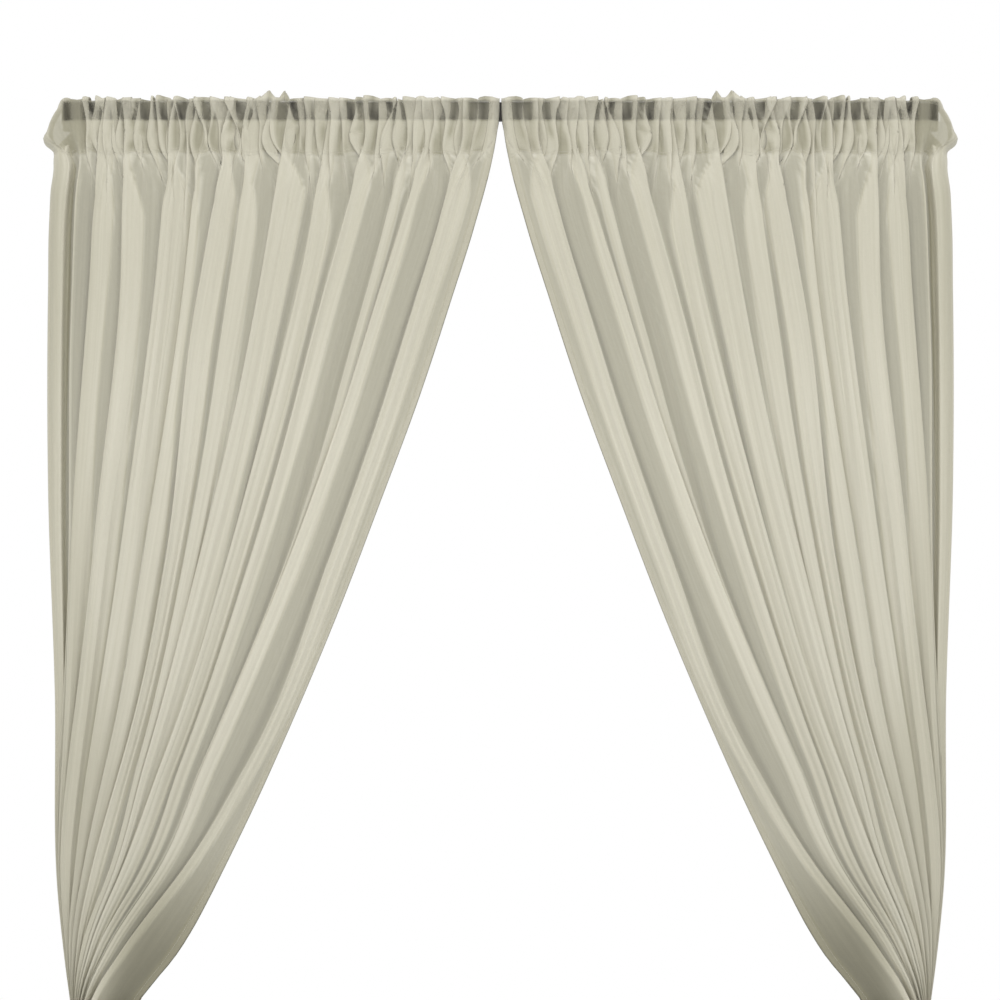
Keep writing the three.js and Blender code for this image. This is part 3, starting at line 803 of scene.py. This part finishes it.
behind = grid + 1.3 * HEM_GAP * turned_back(grid)
hem_rows = int(round(HEM_DEPTH / abs(tail_length) * TAIL_ROWS))
turned_up = slice(-1, -hem_rows - 2, -1)
grid = np.concatenate([grid, behind[turned_up]], axis=0)
density = np.concatenate([density, density[turned_up]], axis=0)
along = np.concatenate([along, along[turned_up]], axis=0)
print("with hems:", grid.shape[0], "by", grid.shape[1])

# %% [markdown]
# Two numbers are kept on each point of the mesh: how light the cloth is painted there, painted
# shade included, and how much it covers what is behind it. Over the rod it covers little, so the
# black rod shows through as grey bars between the gathers. Below, the folds cover nearly
# everything. Broad changes are set by height and by share of the width; among them is painted
# shade on the side that turns under towards the band and on the pocket under the rod.

# %% Tone, painted shade and cover of the cloth
# painted shade: a single layer is painted darker, as a dark room behind it would show, and each
# added layer lighter
SINGLE_TONE = 0.352
LAYERED_TONE = 0.290
TONE_FILL = 1.2


def filled(scale):
    """From 0 for a single layer towards 1 for many, the faster the smaller the scale."""
    return 1 - np.exp(-np.maximum(density - 1, 0) / scale)


tone_and_shade = SINGLE_TONE + LAYERED_TONE * filled(TONE_FILL)
across = grid[..., 0]
height = grid[..., 2]
width_share = (across - outer_side(height)) / (inner_side(height) - outer_side(height))
tone_and_shade = tone_and_shade * (1 + 0.06 * within(-height, 0.20, 0.45, 0.70, 0.95))
# painted shade: the side that turns under towards the band is painted up to 46 % darker
turned_under_shade = within(-height, 0.98, 1.20, 1.30, 1.45) * ease(width_share, 0.25, 0.72)
tone_and_shade = tone_and_shade * (1 - 0.46 * turned_under_shade)
outer_reach = 0.16 + 0.20 * ease(-height, 0.60, 1.00)
outermost = within(-height, 0.05, 0.12, 1.25, 1.40) * (1 - ease(width_share, 0.08, outer_reach))
tone_and_shade = tone_and_shade * (1 - 0.12 * outermost)
# painted shade under the rod: the pocket below it is painted 9 % darker
tone_and_shade = tone_and_shade * (1 - 0.09 * within(-height, 0.012, 0.016, 0.050, 0.062))
print("tone from", round(float(tone_and_shade.min()), 2), "to", round(float(tone_and_shade.max()), 2))

# %% Cover
COVER_BELOW = 0.90
COVER_BUNCHED = 0.60
COVER_LAYERED = 0.62
COVER_FILL = 3.5
over_rod = within(height, -0.0155, -0.0125, 0.0125, 0.0155) * (1 - ease(-across, 0.600, 0.606))
uneven_weave = waves(12, 9, (0.02, 0.12), (0.03, 0.10), 0.48)
thin = uneven_weave(cloth_across[None, :] / CLOTH_WIDTH, height)
thin = np.clip(0.27 + thin, 0.04, 0.50)
bunched = within(across, -0.592, -0.588, -0.578, -0.570)
thin = thin + bunched * (COVER_BUNCHED - thin)
slots = thin + (COVER_LAYERED - thin) * filled(COVER_FILL)
# painted shade: where it turns under, the cloth also covers more, so less white shows through and it
# looks darker
cover = COVER_BELOW + 0.08 * turned_under_shade
cover = cover + over_rod * (slots - cover)
print("cover from", round(float(cover.min()), 2), "to", round(float(cover.max()), 2))

# %% [markdown]
# The grid becomes a mesh of four-sided faces. Its map, called cloth, holds each point's place in
# the flat sheet, so that a pattern keeps its scale however the cloth is folded. The right panel is
# the left one mirrored, with its faces turned round to keep the same front.

# %% Panel meshes


def mesh_object(name, points, faces, side=1, flat=None):
    """A mesh object, mirrored if side is -1. Cloth also has each point's flat measure."""
    if side < 0:
        faces = [face[::-1] for face in faces]
    mesh = bpy.data.meshes.new(name)
    mesh.from_pydata((np.array(points) * (side, 1, 1)).tolist(), [], faces)
    if flat is not None:
        mesh.polygons.foreach_set("use_smooth", np.ones(len(faces), bool))
        layer = mesh.uv_layers.new(name="cloth")
        layer.uv.foreach_set("vector", flat[np.concatenate(faces)].astype(np.float32).ravel())
    mesh.update()
    return new_object(name, mesh)


def panel_object(name, side):
    """The sheet as a mesh: side is 1 for the left panel as laid out, and -1 for its mirror image."""
    index = np.arange(along.size).reshape(along.shape)
    corners = (index[:-1, :-1], index[1:, :-1], index[1:, 1:], index[:-1, 1:])
    faces = np.stack(corners, axis=-1).reshape(-1, 4).tolist()
    flat = np.stack([np.broadcast_to(cloth_across, along.shape), -along], axis=-1).reshape(-1, 2)
    panel = mesh_object(name, grid.reshape(-1, 3), faces, side, flat)
    for key, values in (("cloth_tone_and_shade", tone_and_shade), ("cloth_cover", cover)):
        made = panel.data.attributes.new(key, "FLOAT", "POINT")
        made.data.foreach_set("value", values.ravel().astype(np.float32))
    return panel


left_panel = panel_object("left_sheer_panel", 1)
right_panel = panel_object("right_sheer_panel", -1)
area = sum(face.area for face in left_panel.data.polygons)
print("panel:", len(left_panel.data.polygons), "faces,", round(area, 2), "square metres of cloth")

# %% [markdown]
# The fabric is a fine polyester voile. Its threads are too fine to see one by one, but they show
# as faint streaks along the warp and a slight grain. Both come from noise in the flat cloth's own
# measure, stretched along the threads, so the pattern follows every fold.

# %% Sheer fabric
NOISE_RANGE = (0.3, 0.7)  # nearly all of a noise lies between these


def material(name):
    """A new material, its main shader, and helpers that add a node and link two sockets."""
    made = bpy.data.materials.new(name)
    made.use_nodes = True
    tree = made.node_tree
    shader = tree.nodes["Principled BSDF"]

    def node(kind, **settings):
        new = tree.nodes.new(kind)
        for key, value in settings.items():
            if hasattr(new, key):
                setattr(new, key, value)
            else:
                new.inputs[key.replace("_", " ")].default_value = value
        return new

    return made, shader, node, tree.links.new


def multiply(node, link, product, *factors):
    """The product of a socket and more sockets or plain numbers."""
    for factor in factors:
        step = node("ShaderNodeMath", operation="MULTIPLY")
        link(product, step.inputs[0])
        if isinstance(factor, float):
            step.inputs[1].default_value = factor
        else:
            link(factor, step.inputs[1])
        product = step.outputs[0]
    return product


def remap(node, link, value, low, high, source=(0.0, 1.0)):
    """A value carried from a source range to the range from low to high."""
    spread = node("ShaderNodeMapRange")
    set_inputs(spread, {"From Min": source[0], "From Max": source[1], "To Min": low, "To Max": high})
    link(value, spread.inputs["Value"])
    return spread.outputs[0]


def paint_cloth(node, link, shader, colour, lightness):
    """The base colour: a fixed colour or a socket's, made darker by a lightness."""
    tint = node("ShaderNodeVectorMath", operation="SCALE")
    if isinstance(colour, tuple):
        tint.inputs[0].default_value = colour
    else:
        link(colour, tint.inputs[0])
    link(lightness, tint.inputs["Scale"])
    link(tint.outputs[0], shader.inputs["Base Color"])


def raise_surface(node, link, shader, height, strength, distance):
    bump = node("ShaderNodeBump", Strength=strength, Distance=distance)
    link(height, bump.inputs["Height"])
    link(bump.outputs[0], shader.inputs["Normal"])


def streaks(node, link, scale_across, scale_along, low, high, detail=3.0):
    """Noise in the flat cloth's measure, stretched along the threads, between low and high."""
    place = node("ShaderNodeUVMap", uv_map="cloth")
    stretch = node("ShaderNodeMapping")
    stretch.inputs["Scale"].default_value = (scale_across, scale_along, 1)
    noise = node("ShaderNodeTexNoise", Scale=1.0, Detail=detail, Roughness=0.6)
    link(place.outputs[0], stretch.inputs[0])
    link(stretch.outputs[0], noise.inputs[0])
    return remap(node, link, noise.outputs[0], low, high, NOISE_RANGE)


# %% Ivory voile
VOILE_LIGHT = (1.0, 0.962, 0.800)
VOILE_SHADE_TINT = (1.0, 0.944, 0.668)
HUE_RANGE = (0.25, 0.65)
voile, shader, node, link = material("ivory_voile")
# painted shade: the colour follows the cloth's painted tone-and-shade attribute
own_tone_and_shade = node("ShaderNodeAttribute", attribute_name="cloth_tone_and_shade")
own_cover = node("ShaderNodeAttribute", attribute_name="cloth_cover")
warp = streaks(node, link, 260, 3.0, 0.95, 1.05)
grain = streaks(node, link, 1500, 900, 0.975, 1.025, detail=1.0)
slubs = streaks(node, link, 90, 1400, 0.985, 1.015, detail=1.0)
lightness = multiply(node, link, own_tone_and_shade.outputs["Fac"], warp, grain, slubs)
# painted shade: the darker the painted tone, the warmer and yellower the tint it takes
hue = node("ShaderNodeMix", data_type="VECTOR")
hue.inputs[4].default_value = VOILE_SHADE_TINT
hue.inputs[5].default_value = VOILE_LIGHT
link(remap(node, link, lightness, 0.0, 1.0, HUE_RANGE), hue.inputs[0])
paint_cloth(node, link, shader, hue.outputs[1], lightness)
link(multiply(node, link, own_cover.outputs["Fac"], grain), shader.inputs["Alpha"])
raise_surface(node, link, shader, multiply(node, link, warp, slubs), 0.25, 0.0004)
set_inputs(shader, {"Roughness": 0.85, "Specular IOR Level": 0.25})
set_inputs(shader, {"Sheen Weight": 0.15, "Sheen Roughness": 0.5})
for panel in (left_panel, right_panel):
    panel.data.materials.append(voile)
print("voile nodes:", len(voile.node_tree.nodes))

# %% [markdown]
# Each seam and hem is sewn with a straight stitch. A stitch is a short raised bar of thread, so
# every row is built as many small bars that follow the cloth, a little in front of it. They are
# all one piece for each panel.

# %% Stitching
THREAD = 0.00035
STITCH = 0.0022
STITCH_PITCH = 0.0032
STITCH_POINTS = 8


def path_lengths(points):
    """The distance along a path to each of its points."""
    return np.r_[0, np.cumsum(np.linalg.norm(np.diff(points, axis=0), axis=1))]


def at_distances(at, lengths, values):
    """Values known at a path's points, taken at other distances along it."""
    return np.stack([np.interp(at, lengths, column) for column in values.T], axis=-1)


def stitches(path, out):
    """Corners and faces of a row of stitches along a path, with the direction out of the cloth."""
    lengths = path_lengths(path)
    starts = np.arange(0, lengths[-1] - STITCH, STITCH_PITCH)
    a = at_distances(starts, lengths, path)
    b = at_distances(starts + STITCH, lengths, path)
    up = at_distances(starts, lengths, out)
    run = b - a
    run /= np.linalg.norm(run, axis=1, keepdims=True)
    side = np.cross(run, up) * THREAD / 2
    corners = []
    for end in (a, b):
        for sign, rise in ((-1, 0.1), (-0.7, 1.0), (0.7, 1.0), (1, 0.1)):
            corners.append(end + sign * side + up * rise * THREAD)
    points = np.stack(corners, axis=1).reshape(-1, 3)
    block = np.array([(0, 1, 5, 4), (1, 2, 6, 5), (2, 3, 7, 6), (3, 2, 1, 0), (4, 5, 6, 7)])
    first = STITCH_POINTS * np.arange(len(starts))
    faces = (block[None] + first[:, None, None]).reshape(-1, 4)
    return points, faces


def thread_object(name, rows, side):
    points, faces, count = [], [], 0
    for path, out in rows:
        made, quads = stitches(path, out)
        points.append(made)
        faces.append(quads + count)
        count += len(made)
    return mesh_object(name, np.concatenate(points), np.concatenate(faces).tolist(), side)


# %% Sewing lines of the panels
LIFT = 0.0005
front_of_cloth = -turned_back(grid)
SEAM_ROW = FRONT_ROW + len(FRONT_HEIGHTS) - 1
bottom_row = len(grid) - hem_rows - 1
hem_top_row = bottom_row - hem_rows
main = slice(HEM_COLUMNS, HEM_COLUMNS + COLUMNS)
seam_rows = []
for row in (SEAM_ROW - 1, SEAM_ROW, hem_top_row):
    out = front_of_cloth[row, main]
    seam_rows.append((grid[row, main] + LIFT * out, out))
down_the_side = slice(SEAM_ROW, bottom_row)
for at in (hem_share, 1 - hem_share):
    column = HEM_COLUMNS + int(np.searchsorted(columns, at))
    out = front_of_cloth[down_the_side, column]
    seam_rows.append((grid[down_the_side, column] + LIFT * out, out))
left_stitching = thread_object("left_panel_stitching", seam_rows, 1)
right_stitching = thread_object("right_panel_stitching", seam_rows, -1)

# %% Thread finish
thread_finish, shader, node, link = material("sewing_thread")
twist = node("ShaderNodeTexNoise", Scale=2500.0, Detail=2.0)
place = node("ShaderNodeTexCoord")
link(place.outputs["Object"], twist.inputs[0])
thread_shade = remap(node, link, twist.outputs[0], 0.50, 0.72)
paint_cloth(node, link, shader, VOILE_LIGHT, thread_shade)
set_inputs(shader, {"Roughness": 0.6})
for piece in (left_stitching, right_stitching):
    piece.data.materials.append(thread_finish)
print("stitches in a panel:", len(left_stitching.data.vertices) // STITCH_POINTS)

# %% [markdown]
# Each tie-back is a doubled strip of the same cloth, 50 mm deep round the gathered neck and
# tapered to a narrow tab at each end. It starts at one ring on the hook, goes round the outer
# side and the front, comes back behind, and ends at the other ring. Its section is a thin pad
# with a rolled edge at top and bottom, and it puckers a little where it is pulled round.

# %% Route of the band
RING_RADIUS = 0.008
RING_WIRE = 0.0011
TAB_REACH = RING_RADIUS + RING_WIRE + 0.0006 + BAND_THICKNESS / 2
TAB_DEPTH = 0.012
BAND_DEPTH = 0.050
BAND_TAPER = 0.045
TAB_ANGLES = {"lower": -0.9, "upper": 0.45}  # where each tab meets its ring, seen from above
ring_low, ring_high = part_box("left_tieback_ring_lower")
ring_x = (ring_low.x + ring_high.x) / 2
ring_y = (ring_low.y + ring_high.y) / 2
spread = BAND_GAP + BAND_THICKNESS / 2
neck_radius = (NECK_BACK - NECK_FRONT) / 2 + spread


def arc(x, y, radius, start, end, steps=13):
    angles = np.linspace(start, end, steps)
    return np.stack([x + radius * np.cos(angles), y + radius * np.sin(angles)], axis=-1)


inset = neck_radius - spread
tab_start, tab_end = [
    [ring_x + TAB_REACH * np.cos(angle), ring_y + TAB_REACH * np.sin(angle)]
    for angle in TAB_ANGLES.values()
]
corner = [
    arc(NECK_LEFT + inset, NECK_MIDDLE, neck_radius, np.pi, np.pi * 1.5),
    arc(NECK_RIGHT - inset, NECK_MIDDLE, neck_radius, np.pi * 1.5, np.pi * 2),
    arc(NECK_RIGHT - inset, NECK_MIDDLE, neck_radius, 0, np.pi / 2),
]
route = np.concatenate([[tab_start], *corner, [tab_end]])


def rounded_route(points, count):
    """Points evenly spaced along a smooth line through the given ones."""
    lengths = path_lengths(points)
    total = lengths[-1]
    line = at_distances(np.linspace(0, total, count), lengths, points)
    for _ in range(6):
        line[1:-1] = (line[:-2] + 2 * line[1:-1] + line[2:]) / 4
    return line, total


BAND_STEPS = 180
band_line, BAND_LENGTH = rounded_route(route, BAND_STEPS)
print("band:", round(BAND_LENGTH * 1000), "mm long between its rings")

# %% [markdown]
# The strip is made by moving one section along the route. The section is fuller at its two edges,
# where the cloth is rolled in, and narrows to a tab at each end. A tape loop holds each tab to its
# ring.

# %% Bands
BAND_HALF_THICKNESS = 0.0010


def band_section(half):
    """Half thickness and height round a doubled strip: flat faces and a fuller hem at each edge."""
    heights = np.array([-1, -0.985, -0.93, -0.86, -0.5, 0, 0.5, 0.86, 0.93, 0.985]) * half
    full = np.array([0.15, 0.9, 1.15, 0.7, 0.75, 0.8, 0.75, 0.7, 1.15, 0.9])
    up = list(zip(full * BAND_HALF_THICKNESS, heights)) + [(0.00015, half)]
    return np.array(up + [(-a, b) for a, b in up[::-1]])


band_pucker = waves(21, 10, (0.010, 0.045), (0.03, 0.2), 0.0011)


def band_mesh(name, side):
    tangent = np.gradient(band_line, axis=0)
    tangent /= np.linalg.norm(tangent, axis=1, keepdims=True)
    outward = np.stack([tangent[:, 1], -tangent[:, 0]], axis=-1)
    at = np.linspace(0, BAND_LENGTH, BAND_STEPS)
    to_end = np.minimum(at, BAND_LENGTH - at)
    half = (TAB_DEPTH + (BAND_DEPTH - TAB_DEPTH) * ease(to_end, 0, BAND_TAPER)) / 2
    rings = []
    for i in range(BAND_STEPS):
        section = band_section(half[i])
        shift = band_pucker(at[i] / CLOTH_WIDTH, section[:, 1]) * (0.5 + ease(-to_end[i], -0.05, 0))
        thick = section[:, 0] + shift
        xy = band_line[i] + outward[i] * thick[:, None]
        rings.append(np.c_[xy, TIE_Z + section[:, 1]])
    rings = np.array(rings)
    steps, around = rings.shape[:2]
    index = np.arange(steps * around).reshape(steps, around)
    ahead = np.roll(index, -1, axis=1)
    faces = np.stack([index[:-1], ahead[:-1], ahead[1:], index[1:]], axis=-1).reshape(-1, 4)
    faces = [*faces.tolist(), index[0][::-1].tolist(), index[-1].tolist()]
    flat = np.stack(np.broadcast_arrays(at[:, None], rings[:, :, 2] - TIE_Z), axis=-1)
    return mesh_object(name, rings.reshape(-1, 3), faces, side, flat.reshape(-1, 2)), rings


# %% Tape loops
TAPE_WIDTH = 0.007
TAPE_THICKNESS = 0.0005
TAPE_STEP = 0.001  # flat length from point to point of the tape


def tab_loop(name, side, angle, ring):
    """A narrow tape sewn to a tab and passed round the wire of its ring."""
    low_ring, high_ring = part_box(ring)
    ring_z = (low_ring.z + high_ring.z) / 2
    around = RING_WIRE + 0.0007
    turn = np.linspace(-2.2, 2.2, 15)
    profile = [(RING_RADIUS - around * np.cos(t), around * np.sin(t)) for t in turn]
    tail = TAB_REACH + 0.0035
    level = (TIE_Z - ring_z) * 0.6
    profile = [(tail, level - 0.0006), *profile, (tail, level + 0.0006)]
    points = []
    for radial, rise in profile:
        for reach in (-TAPE_WIDTH / 2, TAPE_WIDTH / 2):
            x = ring_x + radial * np.cos(angle) - reach * np.sin(angle)
            y = ring_y + radial * np.sin(angle) + reach * np.cos(angle)
            points.append((x * side, y, ring_z + rise))
    faces = [(2 * i, 2 * i + 1, 2 * i + 3, 2 * i + 2) for i in range(len(profile) - 1)]
    flat = [(i * TAPE_STEP, j * TAPE_WIDTH) for i in range(len(profile)) for j in range(2)]
    loop = mesh_object(name, points, faces, flat=np.array(flat))
    skin = loop.modifiers.new("tape", "SOLIDIFY")
    skin.thickness = TAPE_THICKNESS
    skin.offset = 0
    return loop


# %% Band cloth
BAND_TONE = 0.60
band_cloth, shader, node, link = material("band_voile")
band_warp = streaks(node, link, 5, 420, 0.93, 1.05)
band_grain = streaks(node, link, 1400, 1400, 0.97, 1.03, detail=1.0)
# creases: a raised relief, and painted shade in the colour along them
crease_relief_and_shade = streaks(node, link, 60, 9, 0.94, 1.04)
band_tone = multiply(node, link, band_warp, band_grain, crease_relief_and_shade, BAND_TONE)
paint_cloth(node, link, shader, VOILE_LIGHT, band_tone)
raise_surface(node, link, shader, multiply(node, link, band_warp, crease_relief_and_shade), 0.35, 0.0005)
set_inputs(shader, {"Roughness": 0.8, "Specular IOR Level": 0.3})
set_inputs(shader, {"Sheen Weight": 0.2, "Sheen Roughness": 0.5})

# %% Both tie-backs
SEWN_POINTS = (3, 7)  # the section's points just inside its two fuller edges
FACE_POINT = 5  # the section's point half way up
for side_name, side in (("left", 1), ("right", -1)):
    body = f"{side_name}_tieback"
    band, rings = band_mesh(f"{side_name}_sash", side)
    rows = []
    for around in SEWN_POINTS:
        path = rings[:, around]
        out = np.gradient(rings[:, FACE_POINT], axis=0)
        out = np.stack([out[:, 1], -out[:, 0], 0 * out[:, 0]], axis=-1)
        out /= np.linalg.norm(out, axis=1, keepdims=True)
        rows.append((path + 0.0002 * out, out))
    sewing = thread_object(f"{side_name}_sash_stitching", rows, side)
    sewing.data.materials.append(thread_finish)
    loops = [
        tab_loop(f"{side_name}_sash_loop_{level}", side, angle, f"left_tieback_ring_{level}")
        for level, angle in TAB_ANGLES.items()
    ]
    for piece in (band, *loops):
        piece.data.materials.append(band_cloth)
    for piece in (band, sewing, *loops):
        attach(piece, body)
    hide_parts(f"{side_name}_tieback_band")

# %% [markdown]
# The rod and its brackets are rolled steel in satin black enamel, slightly uneven as paint on
# sheet metal is. The hooks and rings are satin nickel and the screws zinc. Their shapes are right
# as they come from the frame, so they only need better finishes, given to each part's own
# material slots.

# %% Metal finishes


def metal_finish(name, dark, light, roughness, metallic, scale, coat=0.0, specular=0.5):
    made, shader, node, link = material(name)
    place = node("ShaderNodeTexCoord")
    uneven = node("ShaderNodeTexNoise", Scale=scale, Detail=4.0, Roughness=0.6)
    fine_grain = node("ShaderNodeTexNoise", Scale=scale * 14, Detail=2.0)
    link(place.outputs["Object"], uneven.inputs[0])
    link(place.outputs["Object"], fine_grain.inputs[0])
    edges = node("ShaderNodeMix", data_type="RGBA")
    edges.inputs[6].default_value = (*dark, 1)
    edges.inputs[7].default_value = (*light, 1)
    link(uneven.outputs[0], edges.inputs[0])
    link(edges.outputs[2], shader.inputs["Base Color"])
    gloss = remap(node, link, uneven.outputs[0], roughness * 0.8, roughness * 1.25)
    link(gloss, shader.inputs["Roughness"])
    raise_surface(node, link, shader, fine_grain.outputs[0], 0.12, 0.0002)
    set_inputs(shader, {"Metallic": metallic, "Specular IOR Level": specular})
    set_inputs(shader, {"Coat Weight": coat, "Coat Roughness": 0.3})
    return made


BLACK = (0.0070, 0.0052, 0.0026), (0.0150, 0.0115, 0.0065)
NICKEL = (0.48, 0.46, 0.43), (0.66, 0.64, 0.60)
ZINC = (0.50, 0.50, 0.47), (0.70, 0.70, 0.66)
enamel = metal_finish("black_enamel", *BLACK, 0.42, 0.0, 60, coat=0.10, specular=0.30)
nickel = metal_finish("satin_nickel", *NICKEL, 0.34, 1.0, 240)
zinc = metal_finish("zinc_plate", *ZINC, 0.30, 1.0, 400)
FINISHES = (
    ("screw", zinc),
    ("hook", nickel),
    ("ring", nickel),
    ("bracket", enamel),
    ("rod", enamel),
)
finished = 0
for name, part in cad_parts.items():
    for word, finish in FINISHES:
        if word in name and not part.hide_render:
            for slot in part.material_slots:
                slot.material = finish
            finished += 1
            break
print("metal parts finished:", finished)

# %% [markdown]
# When a curtain is drawn aside along the rod, its gathers close up like a concertina while the
# gathered neck stays in its band. Here the panels and their stitching only have their places
# baked into their meshes, and the frame's own cloth parts are hidden.

# %% The panels in place
CLOTH_NODES = ("heading_pocket", "leading_pocket", "drape", "tail", "bottom_hem")
PANELS = (
    ("left", 1, "outer_rod", left_panel, left_stitching),
    ("right", -1, "inner_rod", right_panel, right_stitching),
)
for side_name, side, rod_body, panel, sewing in PANELS:
    for piece in (panel, sewing):
        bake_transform(piece)
    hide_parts(*[f"{side_name}_{part}" for part in CLOTH_NODES])
